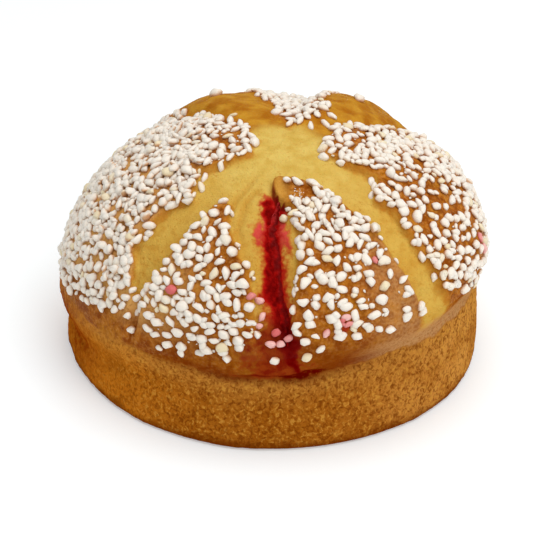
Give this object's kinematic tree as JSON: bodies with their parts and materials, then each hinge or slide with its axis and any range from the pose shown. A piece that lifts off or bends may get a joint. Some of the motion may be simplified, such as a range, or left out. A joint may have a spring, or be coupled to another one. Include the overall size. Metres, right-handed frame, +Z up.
{
  "type": "brioche",
  "caption": "Round filled brioche with a straight side crust, a scored glazed dome covered in pearl sugar, and a red fruit filling showing in the front score.",
  "frame": {"origin": "on the flat base, under the middle of the tin's round", "axes": "+Z is up, from the base to the top of the dome; -Y is the front, where the filling shows"},
  "size_m": [0.1685, 0.1717, 0.0951],
  "materials": {
    "golden_crust": null,
    "red_fruit": null
  },
  "bodies": {
    "root": {"brioche": "golden_crust", "red_filling": "red_fruit"}
  },
  "joints": []
}
